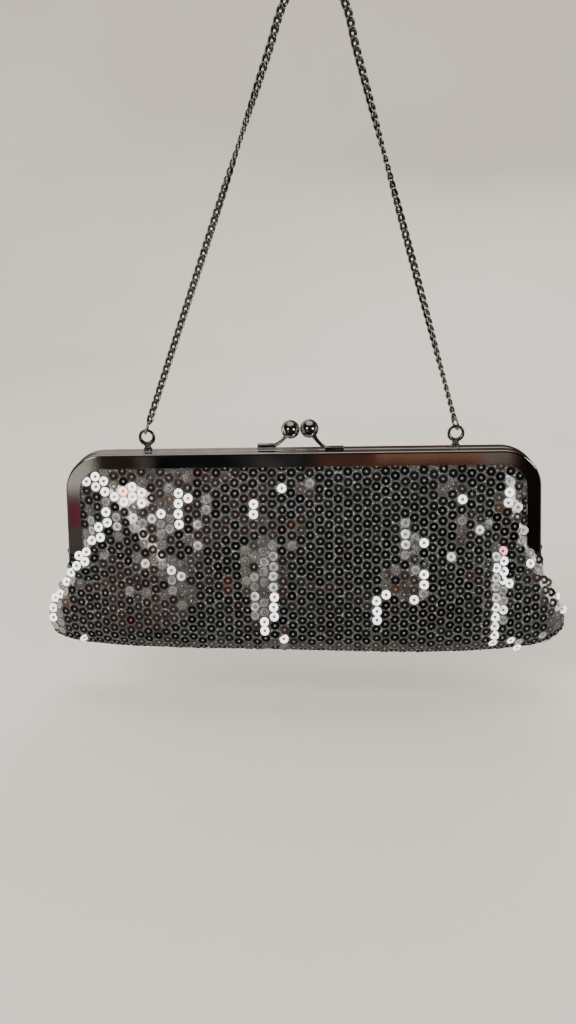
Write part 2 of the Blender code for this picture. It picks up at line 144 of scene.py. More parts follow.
def unit(vectors):
    return vectors / np.maximum(np.linalg.norm(vectors, axis=-1, keepdims=True), 1e-12)


def around(steps):
    """The angles of evenly spaced steps once round."""
    return 2 * np.pi * np.arange(steps) / steps


def travel(points):
    """How far along a line each of its points is."""
    return np.concatenate([[0.0], np.cumsum(np.linalg.norm(np.diff(points, axis=0), axis=1))])


def piece(name, verts, faces, material, sharp=None):
    mesh = bpy.data.meshes.new(name)
    mesh.from_pydata(np.asarray(verts, float).reshape(-1, 3).tolist(), [], [list(f) for f in faces])
    mesh.validate()
    mesh.shade_smooth()
    if sharp:
        mesh.set_sharp_from_angle(angle=math.radians(sharp))
    obj = bpy.data.objects.new(name, mesh)
    mesh.materials.append(material)
    bpy.context.scene.collection.objects.link(obj)
    return obj


def grid_faces(rows, columns, close_rows=False, close_columns=False, start=0):
    """Quads of a grid of points that is stored row by row."""
    faces = []
    for r in range(rows if close_rows else rows - 1):
        for c in range(columns if close_columns else columns - 1):
            r2 = (r + 1) % rows
            c2 = (c + 1) % columns
            this, after = start + r * columns, start + r2 * columns
            faces.append((this + c, this + c2, after + c2, after + c))
    return faces


def write_attribute(obj, name, values):
    """A number or an RGBA colour for each vertex."""
    values = np.asarray(values, np.float32)
    kind, key = ("FLOAT", "value") if values.ndim == 1 else ("FLOAT_COLOR", "color")
    obj.data.attributes.new(name, kind, "POINT").data.foreach_set(key, values.ravel())


class Builder:
    """Collects closed shells into one mesh."""

    def __init__(self):
        self.verts = []
        self.faces = []

    def add(self, verts, faces):
        start = len(self.verts)
        self.verts.extend([tuple(v) for v in verts])
        self.faces.extend([tuple(start + i for i in face) for face in faces])

    def take(self, bm):
        """Adds a bmesh and frees it."""
        bm.verts.index_update()
        self.add([v.co for v in bm.verts], [[v.index for v in f.verts] for f in bm.faces])
        bm.free()

    def tube(self, points, radii, sides, closed=False):
        points = np.asarray(points, float)
        count = len(points)
        radii = np.full(count, radii) if np.isscalar(radii) else np.asarray(radii)
        if closed:
            tangents = unit(np.roll(points, -1, 0) - np.roll(points, 1, 0))
        else:
            tangents = unit(np.gradient(points, axis=0))
        normal = np.cross(tangents[0], (0.31, 0.77, 0.55))
        rings = []
        for place, tangent, radius in zip(points, tangents, radii):
            normal = unit(normal - tangent * (normal @ tangent))
            other = np.cross(tangent, normal)
            turn = around(sides)
            rings.append(place + radius * (np.outer(np.cos(turn), normal) + np.outer(np.sin(turn), other)))
        verts = np.concatenate(rings)
        faces = grid_faces(count, sides, close_rows=closed, close_columns=True)
        if not closed:
            faces.append(tuple(range(sides))[::-1])
            faces.append(tuple(range((count - 1) * sides, count * sides)))
        self.add(verts, faces)

    def lathe(self, profile, centre, steps):
        """A profile of (radius, height) from bottom to top about Z; the ends are closed."""
        rings = []
        turn = around(steps)
        for radius, height in profile:
            ring = np.stack([radius * np.cos(turn), radius * np.sin(turn), np.full(steps, height)], 1)
            rings.append(ring + np.asarray(centre))
        faces = grid_faces(len(profile), steps, close_columns=True)
        faces.append(tuple(range(steps))[::-1])
        faces.append(tuple(range((len(profile) - 1) * steps, len(profile) * steps)))
        self.add(np.concatenate(rings), faces)

    def block(self, size, centre, bevel, segments=3):
        bm = bmesh.new()
        bmesh.ops.create_cube(bm, size=1.0)
        bmesh.ops.scale(bm, vec=size, verts=bm.verts)
        bmesh.ops.translate(bm, vec=centre, verts=bm.verts)
        bmesh.ops.bevel(bm, geom=bm.edges[:], offset=bevel, segments=segments, profile=0.5, affect="EDGES")
        self.take(bm)

    def hull(self, points):
        bm = bmesh.new()
        for point in points:
            bm.verts.new(point)
        found = bmesh.ops.convex_hull(bm, input=bm.verts)
        bmesh.ops.delete(bm, geom=list(set(found["geom_interior"])), context="VERTS")
        self.take(bm)

    def sphere(self, centre, radius, across=48, down=32):
        bm = bmesh.new()
        bmesh.ops.create_uvsphere(bm, u_segments=across, v_segments=down, radius=radius)
        bmesh.ops.translate(bm, vec=centre, verts=bm.verts)
        self.take(bm)

    def make(self, name, material, sharp=None):
        obj = piece(name, np.array(self.verts), self.faces, material, sharp)
        bm = bmesh.new()
        bm.from_mesh(obj.data)
        bmesh.ops.recalc_face_normals(bm, faces=bm.faces)
        bm.to_mesh(obj.data)
        bm.free()
        return obj


# Materials


def new_material(name):
    material = bpy.data.materials.new(name)
    material.use_nodes = True
    tree = material.node_tree
    return material, tree, tree.nodes["Principled BSDF"]


def node(tree, kind, inputs=None, **settings):
    made = tree.nodes.new(kind)
    for key, value in settings.items():
        setattr(made, key, value)
    for key, value in (inputs or {}).items():
        if isinstance(value, bpy.types.NodeSocket):
            tree.links.new(value, made.inputs[key])
        else:
            made.inputs[key].default_value = value
    return made


def ramp(tree, factor, stops):
    made = node(tree, "ShaderNodeValToRGB", {"Fac": factor})
    elements = made.color_ramp.elements
    while len(elements) < len(stops):
        elements.new(0.5)
    for element, (place, colour) in zip(elements, stops):
        element.position = place
        element.color = (*colour, 1.0)
    return made.outputs["Color"]


def noise(tree, scale, detail=3.0, rough=0.5, vector=None):
    inputs = {"Scale": scale, "Detail": detail, "Roughness": rough}
    inputs["Vector"] = vector or node(tree, "ShaderNodeTexCoord").outputs["Object"]
    return node(tree, "ShaderNodeTexNoise", inputs).outputs["Fac"]


def map_range(tree, value, low, high, to_low, to_high):
    inputs = {"Value": value, "From Min": low, "From Max": high, "To Min": to_low, "To Max": to_high}
    return node(tree, "ShaderNodeMapRange", inputs).outputs["Result"]


def math_node(tree, operation, first, second=0.0):
    return node(tree, "ShaderNodeMath", {0: first, 1: second}, operation=operation).outputs[0]


def bump(tree, height, strength, distance, normal=None):
    inputs = {"Height": height, "Strength": strength, "Distance": distance}
    if normal:
        inputs["Normal"] = normal
    return node(tree, "ShaderNodeBump", inputs).outputs["Normal"]


def mix(tree, share, first, second, blend="MIX"):
    """Two colours mixed by share. Each is a socket or a triple."""
    made = node(tree, "ShaderNodeMix", {0: share}, data_type="RGBA", blend_type=blend)
    for place, value in ((6, first), (7, second)):
        if isinstance(value, bpy.types.NodeSocket):
            tree.links.new(value, made.inputs[place])
        else:
            made.inputs[place].default_value = (*value, 1.0)
    return made.outputs[2]


def wave(tree, scale, distortion, direction, detail=2.0):
    place = node(tree, "ShaderNodeTexCoord").outputs["Object"]
    inputs = {"Vector": place, "Scale": scale, "Distortion": distortion, "Detail": detail}
    return node(tree, "ShaderNodeTexWave", inputs, bands_direction=direction).outputs["Fac"]


def finish_material(tree, shader, colour, roughness, normal, metallic=0.0):
    tree.links.new(colour, shader.inputs["Base Color"])
    tree.links.new(roughness, shader.inputs["Roughness"])
    tree.links.new(normal, shader.inputs["Normal"])
    shader.inputs["Metallic"].default_value = metallic


def metal(name, light, dark, rough_low, rough_high, wear):
    material, tree, shader = new_material(name)
    cloud = noise(tree, 90.0, 4.0)
    fine = noise(tree, 1400.0, 2.0)
    colour = ramp(tree, cloud, [(0.35, dark), (0.6, light)])
    roughness = map_range(tree, cloud, 0.3, 0.7, rough_low, rough_high)
    finish_material(tree, shader, colour, roughness, bump(tree, fine, wear, 0.0001), 1.0)
    return material


def sequin_material():
    material, tree, shader = new_material("sequin_film")
    tint = node(tree, "ShaderNodeAttribute", attribute_name="tint").outputs["Color"]
    cloud = noise(tree, 420.0, 2.0)
    tone = ramp(tree, cloud, [(0.3, (0.80, 0.80, 0.80)), (0.7, (1.0, 1.0, 1.0))])
    colour = mix(tree, 1.0, tint, tone, "MULTIPLY")
    roughness = map_range(tree, cloud, 0.3, 0.7, 0.07, 0.15)
    normal = bump(tree, noise(tree, 900.0, 2.0), 0.03, 0.00005)
    finish_material(tree, shader, colour, roughness, normal, 1.0)
    return material


def net_material():
    """Fine knitted net under the sequins: dark grey yarn and small holes, with painted glints and painted
    highlights on creases.
    """
    material, tree, shader = new_material("knitted_net")
    place = node(tree, "ShaderNodeTexCoord").outputs["Object"]
    holes = node(tree, "ShaderNodeTexVoronoi", {"Vector": place, "Scale": 1300.0}).outputs["Distance"]
    cloud = noise(tree, 160.0, 3.0)
    yarn = ramp(tree, holes, [(0.10, (0.012, 0.013, 0.013)), (0.55, (0.070, 0.075, 0.073))])
    patch = ramp(tree, cloud, [(0.3, (0.62, 0.62, 0.61)), (0.7, (1.0, 1.0, 1.0))])
    # Painted highlights: small bright specks in the yarn's colour, painted as glints.
    painted_glints = ramp(tree, noise(tree, 1150.0, 1.0), [(0.60, (0.0, 0.0, 0.0)), (0.72, (1.0, 1.0, 1.0))])
    # Painted highlight: the net's colour is made bright in the creased patches, as if the lamp lit them.
    crease_highlight = node(tree, "ShaderNodeAttribute", attribute_name="crease_highlight").outputs["Fac"]
    ragged = map_range(tree, noise(tree, 420.0, 2.0), 0.36, 0.58, 0.0, 1.3)
    crease_highlight = math_node(tree, "MULTIPLY", crease_highlight, ragged)
    painted_glints = math_node(tree, "MAXIMUM", painted_glints, math_node(tree, "MINIMUM", crease_highlight, 1.0))
    highlight_colour = ramp(tree, crease_highlight, [(0.0, (0.42, 0.43, 0.42)), (0.6, (0.88, 0.88, 0.87))])
    colour = mix(tree, painted_glints, mix(tree, 1.0, yarn, patch, "MULTIPLY"), highlight_colour)
    roughness = map_range(tree, holes, 0.1, 0.6, 0.75, 0.42)
    finish_material(tree, shader, colour, roughness, bump(tree, holes, 0.5, 0.0002))
    shader.inputs["Sheen Weight"].default_value = 0.3
    return material


def satin_material():
    material, tree, shader = new_material("satin_weave")
    floats = wave(tree, 900.0, 0.6, "Z", 1.0)
    cloud = noise(tree, 60.0, 4.0)
    colour = ramp(tree, cloud, [(0.3, (0.016, 0.016, 0.018)), (0.7, (0.034, 0.034, 0.038))])
    roughness = map_range(tree, floats, 0.0, 1.0, 0.30, 0.44)
    finish_material(tree, shader, colour, roughness, bump(tree, floats, 0.18, 0.0001))
    shader.inputs["Anisotropic"].default_value = 0.5
    shader.inputs["Sheen Weight"].default_value = 0.35
    return material


def paper_material():
    material, tree, shader = new_material("twisted_paper")
    twist = wave(tree, 420.0, 1.5, "DIAGONAL")
    colour = ramp(tree, twist, [(0.1, (0.25, 0.19, 0.12)), (0.8, (0.46, 0.37, 0.25))])
    roughness = map_range(tree, noise(tree, 800.0), 0.3, 0.7, 0.75, 0.95)
    finish_material(tree, shader, colour, roughness, bump(tree, twist, 0.6, 0.0002))
    return material


def thread_material():
    material, tree, shader = new_material("sewing_thread")
    strands = wave(tree, 2600.0, 0.4, "DIAGONAL")
    colour = ramp(tree, strands, [(0.2, (0.38, 0.38, 0.37)), (0.8, (0.72, 0.72, 0.70))])
    roughness = map_range(tree, strands, 0.0, 1.0, 0.30, 0.45)
    finish_material(tree, shader, colour, roughness, bump(tree, strands, 0.4, 0.0001))
    return material


def chain_metal():
    """Nickel plate with painted shade, near black, on the inner side of each link where the links face
    each other.
    """
    material, tree, shader = new_material("chain_nickel_plate")
    # Painted shade: the links' colour is darkened where they face each other, on top of random clouds.
    painted_shade = node(tree, "ShaderNodeAttribute", attribute_name="link_inner_shade").outputs["Fac"]
    cloud = noise(tree, 300.0, 3.0)
    share = math_node(tree, "ADD", painted_shade, map_range(tree, cloud, 0.35, 0.75, -0.12, 0.22))
    stops = [(0.15, (0.74, 0.72, 0.69)), (0.45, (0.20, 0.18, 0.165)), (0.8, (0.018, 0.015, 0.013))]
    roughness = map_range(tree, share, 0.1, 0.8, 0.14, 0.50)
    normal = bump(tree, noise(tree, 1500.0), 0.2, 0.0001)
    finish_material(tree, shader, ramp(tree, share, stops), roughness, normal, 1.0)
    return material


NICKEL = metal("polished_nickel", (0.78, 0.77, 0.75), (0.66, 0.65, 0.63), 0.018, 0.050, 0.025)
CHAIN_METAL = chain_metal()
LOOP_METAL = metal("worn_loop_nickel", (0.50, 0.48, 0.45), (0.16, 0.145, 0.13), 0.12, 0.26, 0.20)
LINK_METAL = metal("bright_link_nickel", (0.86, 0.85, 0.83), (0.66, 0.65, 0.63), 0.10, 0.20, 0.12)
SEQUIN = sequin_material()
NET = net_material()
SATIN = satin_material()
PAPER = paper_material()
THREAD = thread_material()


# Camera


def make_camera():
    data = bpy.data.cameras.new("camera")
    data.lens = CAMERA_LENS
    data.sensor_width = 36.0
    data.clip_start = 0.01
    data.clip_end = 20.0
    camera = bpy.data.objects.new("camera", data)
    bpy.context.scene.collection.objects.link(camera)
    cp = math.cos(CAMERA_PITCH)
    forward = Vector((-math.sin(CAMERA_YAW) * cp, math.cos(CAMERA_YAW) * cp, -math.sin(CAMERA_PITCH)))
    level = Vector((math.cos(CAMERA_YAW), math.sin(CAMERA_YAW), 0.0))
    upright = level.cross(forward)
    c, s = math.cos(CAMERA_ROLL), math.sin(CAMERA_ROLL)
    right = c * level + s * upright
    up = -s * level + c * upright
    turn = Matrix((right, up, -forward)).transposed()
    camera.matrix_world = Matrix.Translation(CAMERA_PLACE) @ turn.to_4x4()
    bpy.context.scene.camera = camera


# Chain


def chain_line(count):
    """Evenly spaced points on the smooth curve through the chain's route, as in the part."""
    knots = np.array(CHAIN_ROUTE)
    steps = np.diff(knots, axis=0)
    lengths = np.linalg.norm(steps, axis=1)
    slopes = steps / lengths[:, None]
    tangents = [slopes[0]]
    for i in range(1, len(knots) - 1):
        a, b = lengths[i - 1], lengths[i]
        tangents.append((slopes[i - 1] * b + slopes[i] * a) / (a + b))
    tangents.append(slopes[-1])
    fine = []
    for i, length in enumerate(lengths):
        t = np.arange(60)[:, None] / 60
        spread = knots[i] * (2 * t**3 - 3 * t**2 + 1) + tangents[i] * ((t**3 - 2 * t**2 + t) * length)
        spread = spread + knots[i + 1] * (3 * t**2 - 2 * t**3) + tangents[i + 1] * ((t**3 - t**2) * length)
        fine.append(spread)
    fine = np.concatenate(fine + [knots[-1:]])
    travelled = travel(fine)
    places = np.linspace(0.0, travelled[-1], count)
    return np.stack([np.interp(places, travelled, fine[:, k]) for k in range(3)], 1), travelled[-1]


def ring_shell(points, centres, radius, sides):
    """Tubes about closed rings: points is (rings, steps, 3), and each ring has its centre."""
    tangent = unit(np.roll(points, -1, 1) - np.roll(points, 1, 1))
    radial = points - centres[:, None, :]
    radial = unit(radial - (radial * tangent).sum(-1, keepdims=True) * tangent)
    other = np.cross(tangent, radial)
    turn = around(sides)
    verts = points[:, :, None, :] + radius * (
        np.cos(turn)[:, None] * radial[:, :, None, :] + np.sin(turn)[:, None] * other[:, :, None, :]
    )
    rings, steps = points.shape[:2]
    faces = []
    for ring in range(rings):
        faces += grid_faces(steps, sides, True, True, start=ring * steps * sides)
    return verts.reshape(-1, 3), faces


# How far the links have turned about the chain, in degrees, at heights on its two runs
TWIST_Z = [-0.180, -0.155, -0.101, -0.081, -0.063, -0.035, -0.010]
TWIST_LEFT = [-8.0, 6.0, 0.0, 30.0, 80.0, 165.0, 180.0]
TWIST_RIGHT = [300.0, 268.0, 180.0, 140.0, 90.0, 20.0, 0.0]


def chain_twist(z, side):
    return math.radians(np.interp(z, TWIST_Z, TWIST_LEFT if side < 0 else TWIST_RIGHT))


def make_chain():
    _, length = chain_line(2)
    links = round(length / LINK_PITCH) + 1
    centres, _ = chain_line(links)
    tangents = unit(np.gradient(centres, axis=0))
    pitch = length / (links - 1)
    half_length = pitch / 2 + LINK_WIRE_RADIUS + LINK_PLAY
    half_width = CHAIN_WIDTH / 2 - LINK_WIRE_RADIUS
    top = int(np.argmax(centres[:, 2]))
    t = around(LINK_STEPS)
    wobbles = RNG.normal(0.0, 0.05, LINK_WOBBLES)
    rings = []
    for k, (centre, tangent) in enumerate(zip(centres, tangents)):
        flat = np.array((tangent[2], 0.0, -tangent[0]))
        deep = np.array((0.0, 1.0, 0.0))
        turn = chain_twist(centre[2], -1 if k < top else 1)
        turn = turn + LINK_TWIST * np.cos(t) / 2 + wobbles[k]
        across = np.outer(np.cos(turn), flat) + np.outer(np.sin(turn), deep)
        along = np.outer(half_length * np.cos(t), tangent)
        rings.append(centre + along + across * (half_width * np.sin(t))[:, None])
    verts, faces = ring_shell(np.array(rings), centres, LINK_WIRE_RADIUS, LINK_SIDES)
    chain = piece("curb_chain", verts, faces, CHAIN_METAL)
    # Painted shade: each link's wire is coloured darker on the side that faces the middle of the link.
    link_inner_shade = smoothstep(-np.cos(around(LINK_SIDES)), -0.35, 0.75)
    write_attribute(chain, "link_inner_shade", np.tile(link_inner_shade, len(verts) // LINK_SIDES))
    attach(chain, "chain")
    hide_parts("chain")
    return chain


def make_end_link(name, side):
    """The oval link that joins the chain to its loop, in line with its run of chain."""
    hook = np.array((SWING.x + side * LOOP_X, SWING.y, SWING.z))
    start = np.array(CHAIN_ROUTE[0] if side < 0 else CHAIN_ROUTE[-1])
    along = unit(start - hook)
    turn = math.radians(END_LINK_TURN[name])
    deep = np.array((0.0, 1.0, 0.0))
    across = deep * math.cos(turn) + np.cross(along, deep) * math.sin(turn)
    drop = LOOP_WIRE_RADIUS + PART_GAP + END_LINK_WIRE_RADIUS
    centre = hook + along * (END_LINK_HALF_LENGTH - drop)
    t = around(40)
    ring = centre + np.outer(END_LINK_HALF_LENGTH * np.cos(t), along)
    ring = ring + np.outer(END_LINK_HALF_WIDTH * np.sin(t), across)
    verts, faces = ring_shell(ring[None], centre[None], END_LINK_WIRE_RADIUS, 12)
    link = piece(f"{name}_oval_link", verts, faces, LINK_METAL)
    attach(link, "chain")
    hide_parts(f"{name}_end_link")
    return link


# Half frames


def leg_x(z):
    return HALF_WIDTH_TOP + LEG_SLOPE * (FRAME_HEIGHT - z)


CORNER_Z = FRAME_HEIGHT - CORNER_RADIUS
CORNER_X = leg_x(CORNER_Z) - CORNER_RADIUS / math.cos(LEAN)


def frame_outline(inset, end_z, corner_steps, leg_steps, top_steps):
    """The frame's outline, moved in by inset, from the left leg's end to the right one's."""
    radius = CORNER_RADIUS - inset
    corner = []
    for step in range(corner_steps + 1):
        angle = LEAN + (math.pi / 2 - LEAN) * step / corner_steps
        corner.append((CORNER_X + radius * math.cos(angle), CORNER_Z + radius * math.sin(angle)))
    foot = (leg_x(end_z) - inset / math.cos(LEAN), end_z)
    run, rise = corner[0][0] - foot[0], corner[0][1] - foot[1]
    leg = [(foot[0] + run * s / leg_steps, foot[1] + rise * s / leg_steps) for s in range(leg_steps)]
    right = leg + corner
    left = [(-x, z) for x, z in right]
    top = [(corner[-1][0] * (2 * s / top_steps - 1), corner[-1][1]) for s in range(1, top_steps)]
    return np.array(left + top + right[::-1])


def half_width(z, inset):
    """Half the width of the frame's outline at height z, moved in by inset."""
    radius = CORNER_RADIUS - inset
    rise = z - CORNER_Z
    if rise <= radius * math.sin(LEAN):
        return leg_x(z) - inset / math.cos(LEAN)
    return CORNER_X + math.sqrt(max(radius * radius - rise * rise, 0.0))


def channel_profile():
    """The U section as (depth from the outline, distance across the half), once round."""
    half = CHANNEL_WIDTH / 2
    bend = CHANNEL_ROUND
    arc = [i / 5 * math.pi / 2 for i in range(6)]

    def flank(across, rim, radius):
        """One face of a wall: the chamfered rim, the flat, held flat at both ends, and the bend."""
        depths = (CHANNEL_HEIGHT - 0.0001, CHANNEL_HEIGHT - 0.0003, bend + 0.0002)
        line = [(CHANNEL_HEIGHT, across + rim)] + [(depth, across) for depth in depths]
        return line + [(bend - radius * math.sin(a), half - bend + radius * math.cos(a)) for a in arc]

    outside = flank(half, -0.0001, bend)
    inside = flank(half - CHANNEL_WALL, 0.0001, bend - CHANNEL_WALL)
    side = outside + [(x, -y) for x, y in outside[::-1]]
    back = [(x, -y) for x, y in inside] + inside[::-1]
    return side + back


def to_world(points, facing):
    """Points (x, out, z) about the hinge, in the part's frame. facing is -1 at the front."""
    points = np.asarray(points, float)
    out = np.empty_like(points)
    out[..., 0] = HINGE.x + points[..., 0]
    out[..., 1] = HINGE.y + facing * points[..., 1]
    out[..., 2] = HINGE.z + points[..., 2]
    return out


def make_half_frame(word, facing, ear_outer_x):
    builder = Builder()
    profile = channel_profile()
    rows = []
    for depth, across in profile:
        line = frame_outline(depth, LEG_END_Z, 26, 6, 12)
        out = np.full(len(line), HALF_CENTRE_Y + across)
        rows.append(np.stack([line[:, 0], out, line[:, 1]], 1))
    count = len(rows[0])
    faces = grid_faces(len(rows), count, close_rows=True)
    faces.append(tuple(r * count for r in range(len(rows))))
    faces.append(tuple(r * count + count - 1 for r in range(len(rows)))[::-1])
    builder.add(to_world(np.concatenate(rows), facing), faces)
    near, far = HALF_CENTRE_Y - 0.0003, SEAM_GAP / 2 + CHANNEL_WIDTH - 0.00025
    for side in (-1, 1):
        points = []
        for x in (side * (ear_outer_x - EAR_THICKNESS), side * ear_outer_x):
            points += [(x, near, EAR_TOP_Z), (x, far, EAR_TOP_Z)]
            for step in range(32):
                angle = 2 * math.pi * step / 32
                points.append((x, EAR_RADIUS * math.cos(angle), EAR_RADIUS * math.sin(angle)))
        builder.hull(to_world(points, facing))
    shell = builder.make(f"{word}_frame_shell", NICKEL, sharp=38)
    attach(shell, f"{word}_frame")
    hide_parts(f"{word}_frame_channel")


# Clasp and loops


def make_clasp(word, facing):
    side = -facing
    length, depth, height = CLASP_FOOT
    foot_out = HALF_CENTRE_Y
    ball = np.array((side * BALL_X, -BALL_Y, FRAME_HEIGHT + BALL_Z))
    start_x = side * (CLASP_FOOT_X - length / 2 + 0.0012)
    start = np.array((start_x, foot_out, FRAME_HEIGHT + height * 0.55))
    bend = np.array((side * STEM_BEND_X, foot_out * 0.85, FRAME_HEIGHT + STEM_BEND_Z))
    reach = unit(bend - ball)
    end = ball + reach * (BALL_RADIUS - 0.0003)
    t = np.linspace(0.0, 1.0, 22)[:, None]
    route = (1 - t) ** 2 * start + 2 * t * (1 - t) * bend + t**2 * end
    radii = STEM_RADIUS * (1.0 - 0.12 * np.sin(np.pi * t[:, 0]) + 0.22 * smoothstep(t[:, 0], 0.82, 1.0))
    arm = Builder()
    arm.tube(to_world(route, facing), radii, 16)
    centre = to_world([(side * CLASP_FOOT_X, foot_out, FRAME_HEIGHT + height / 2)], facing)[0]
    arm.block((length, depth, height), Vector(centre), 0.00022)
    made = arm.make(f"{word}_clasp_stem", NICKEL, sharp=40)
    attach(made, f"{word}_frame")
    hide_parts(f"{word}_clasp_arm")
    shell = Builder()
    shell.sphere(Vector(to_world([ball], facing)[0]), BALL_RADIUS)
    round_ball = shell.make(f"{word}_clasp_bead", NICKEL)
    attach(round_ball, f"{word}_frame")
    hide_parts(f"{word}_clasp_ball")


def make_loop(word, side):
    centre = np.array((side * LOOP_X, HALF_CENTRE_Y, FRAME_HEIGHT + LOOP_Z))
    t = around(56)
    ring = centre + LOOP_RADIUS * np.stack([np.cos(t), 0 * t, np.sin(t)], 1)
    builder = Builder()
    stout = LOOP_WIRE_RADIUS * (1.08 + 0.45 * smoothstep(-np.sin(t), -0.35, 0.9))
    builder.tube(to_world(ring, 1), stout, 16, closed=True)
    top = LOOP_Z - LOOP_RADIUS
    profile = [
        (0.00205, 0.0),
        (0.00210, 0.0004),
        (0.00195, 0.0009),
        (0.00160, 0.0013),
        (0.00150, 0.0018),
        (0.00165, top - 0.0008),
        (0.00160, top - 0.0002),
        (0.00080, top + 0.0004),
    ]
    foot = to_world([(centre[0], centre[1], FRAME_HEIGHT)], 1)[0]
    builder.lathe(profile, foot, 28)
    loop = builder.make(f"{word}_ring_post", LOOP_METAL, sharp=50)
    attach(loop, "back_frame")
    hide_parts(f"{word}_chain_loop")


# Cloth: where it lies

LIP_INSET = 0.0060  # the cloth's edge inside the channel
LIP_DEPTH = 0.0078
HEM_OUT = 0.00425
BELLY_OUT = 0.0206
RIM_OUT = 0.0221
SEAM_Z = -0.0100
BOTTOM_Z = -0.0460
SIDE_Z = [-0.0460, -0.0448, -0.0430, -0.0405, -0.0370, -0.0315, -0.0250, -0.0190, -0.0120, -0.0075]
SIDE_X = [0.1110, 0.1180, 0.1235, 0.1272, 0.1292, 0.1296, 0.1272, 0.1236, 0.1190, 0.1166]
ROUND_FROM = 0.30  # the share of the pouch's depth where the base starts to round off
LOW_SIDE_DROP = 0.0030  # the right side of the bag hangs this much lower
ROWS = 200
UPPER_SHARE = 0.62  # the share of the rows above the seam
COLUMNS = 245

# Edge of the cloth from the channel, round the rivet and into the side seam: z, x, out
EDGE_Z = [-0.0075, -0.0050, -0.0030, -0.0010, 0.0010, 0.0030, 0.0055]
EDGE_X = [0.1166, 0.1164, 0.1160, 0.1152, 0.1130, 0.1108, 0.1082]
EDGE_OUT = [0.0, 0.0022, 0.0042, 0.0056, 0.0062, 0.0060, 0.00425]

# Folds of the front: start (x, z), end (x, z), half width, height, in millimetres
FRONT_FOLDS = [
    (-90, 32, -123, -28, 6.0, 2.6),
    (-80, 24, -108, -34, 7.5, -0.8),
    (-88, 36, -54, -6, 5.0, 0.9),
    (-72, 36, -48, 10, 7.5, -0.4),
    (-20, 18, -14, -40, 5.5, 1.5),
    (-30, 8, -27, -34, 7.0, -0.8),
    (32, -2, 35, -38, 4.5, 1.2),
    (46, 24, 54, -18, 5.0, 1.0),
    (86, 16, 84, -40, 5.0, 1.6),
    (74, 6, 72, -36, 6.0, -0.9),
    (97, 40, 122, -28, 5.0, 2.6),
    (86, 32, 106, -34, 6.0, -1.3),
    (-58, 34, -60, 10, 4.0, 0.8),
    (10, 30, 14, -20, 12.0, 0.8),
]
BACK_FOLDS = [
    (-90, 36, -120, -30, 5.5, 2.8),
    (-80, 28, -104, -34, 6.5, -1.5),
    (92, 38, 119, -30, 5.0, 2.8),
    (82, 32, 104, -34, 6.0, -1.5),
    (-38, 20, -34, -40, 6.0, 1.4),
    (22, 12, 18, -38, 5.5, 1.3),
    (58, 24, 64, -30, 6.0, 1.2),
    (-66, 18, -62, -36, 5.0, 1.0),
    (0, 30, -6, -12, 12.0, 0.9),
]


def fold_height(x, z, folds):
    """How far the folds lift the cloth at points of the front view, in metres."""
    lift = np.zeros_like(x)
    for x0, z0, x1, z1, width, height in folds:
        start = np.array((x0, z0)) / 1000
        line = np.array((x1, z1)) / 1000 - start
        length = np.linalg.norm(line)
        line = line / length
        along = ((x - start[0]) * line[0] + (z - start[1]) * line[1]) / length
        aside = (x - start[0]) * line[1] - (z - start[1]) * line[0]
        fade = smoothstep(along, -0.12, 0.25) * (1.0 - smoothstep(along, 0.75, 1.12))
        lift += height / 1000 * fade * np.exp(-((aside / (width / 1000)) ** 2))
    waves = np.sin(x * 120 + 1.3 * np.sin(z * 70)) * np.sin(z * 95 + 0.8 + x * 22)
    return lift + 0.00035 * waves


def cloth_rows(inset):
    """Heights of the rows, half widths of the rows and how far each row's edge stands out."""
    top_z = FRAME_HEIGHT - LIP_INSET
    upper = int(ROWS * UPPER_SHARE)
    heights = list(np.linspace(top_z, SEAM_Z, upper, endpoint=False))
    turn = np.linspace(0.0, math.pi / 2, ROWS - upper)
    heights += list(SEAM_Z + (BOTTOM_Z + inset - SEAM_Z) * np.sin(turn))
    heights = np.array(heights)
    widths = np.empty(ROWS)
    outs = np.empty(ROWS)
    for i, z in enumerate(heights):
        if z >= EDGE_Z[-1]:
            widths[i] = half_width(z, LIP_INSET)
            outs[i] = HEM_OUT
        elif z >= EDGE_Z[0]:
            widths[i] = np.interp(z, EDGE_Z, EDGE_X)
            outs[i] = np.interp(z, EDGE_Z, EDGE_OUT)
        else:
            widths[i] = np.interp(z, SIDE_Z, SIDE_X)
            outs[i] = 0.0
    low = heights < EDGE_Z[0]
    padded = np.pad(widths, 3, mode="reflect", reflect_type="odd")
    widths[low] = np.convolve(padded, np.ones(7) / 7, mode="valid")[low]
    return heights, widths, outs


def row_out(z):
    """How far the middle of the cloth stands out at height z."""
    rise = np.clip((z - SEAM_Z) / (FRAME_HEIGHT - LIP_DEPTH - SEAM_Z), 0.0, 1.0)
    upper = HEM_OUT + (BELLY_OUT - HEM_OUT) * (1.0 - rise**1.5)
    depth = np.clip((SEAM_Z - z) / (SEAM_Z - BOTTOM_Z), 0.0, 1.0)
    lower = BELLY_OUT + (RIM_OUT - BELLY_OUT) * np.sin(np.pi / 2 * np.minimum(depth / 0.2, 1.0))
    base = np.clip((depth - ROUND_FROM) / (1.0 - ROUND_FROM), 0.0, 1.0)
    lower = lower * np.sqrt(np.maximum(1.0 - base**4, 0.0))
    return np.where(z >= SEAM_Z, upper, lower)


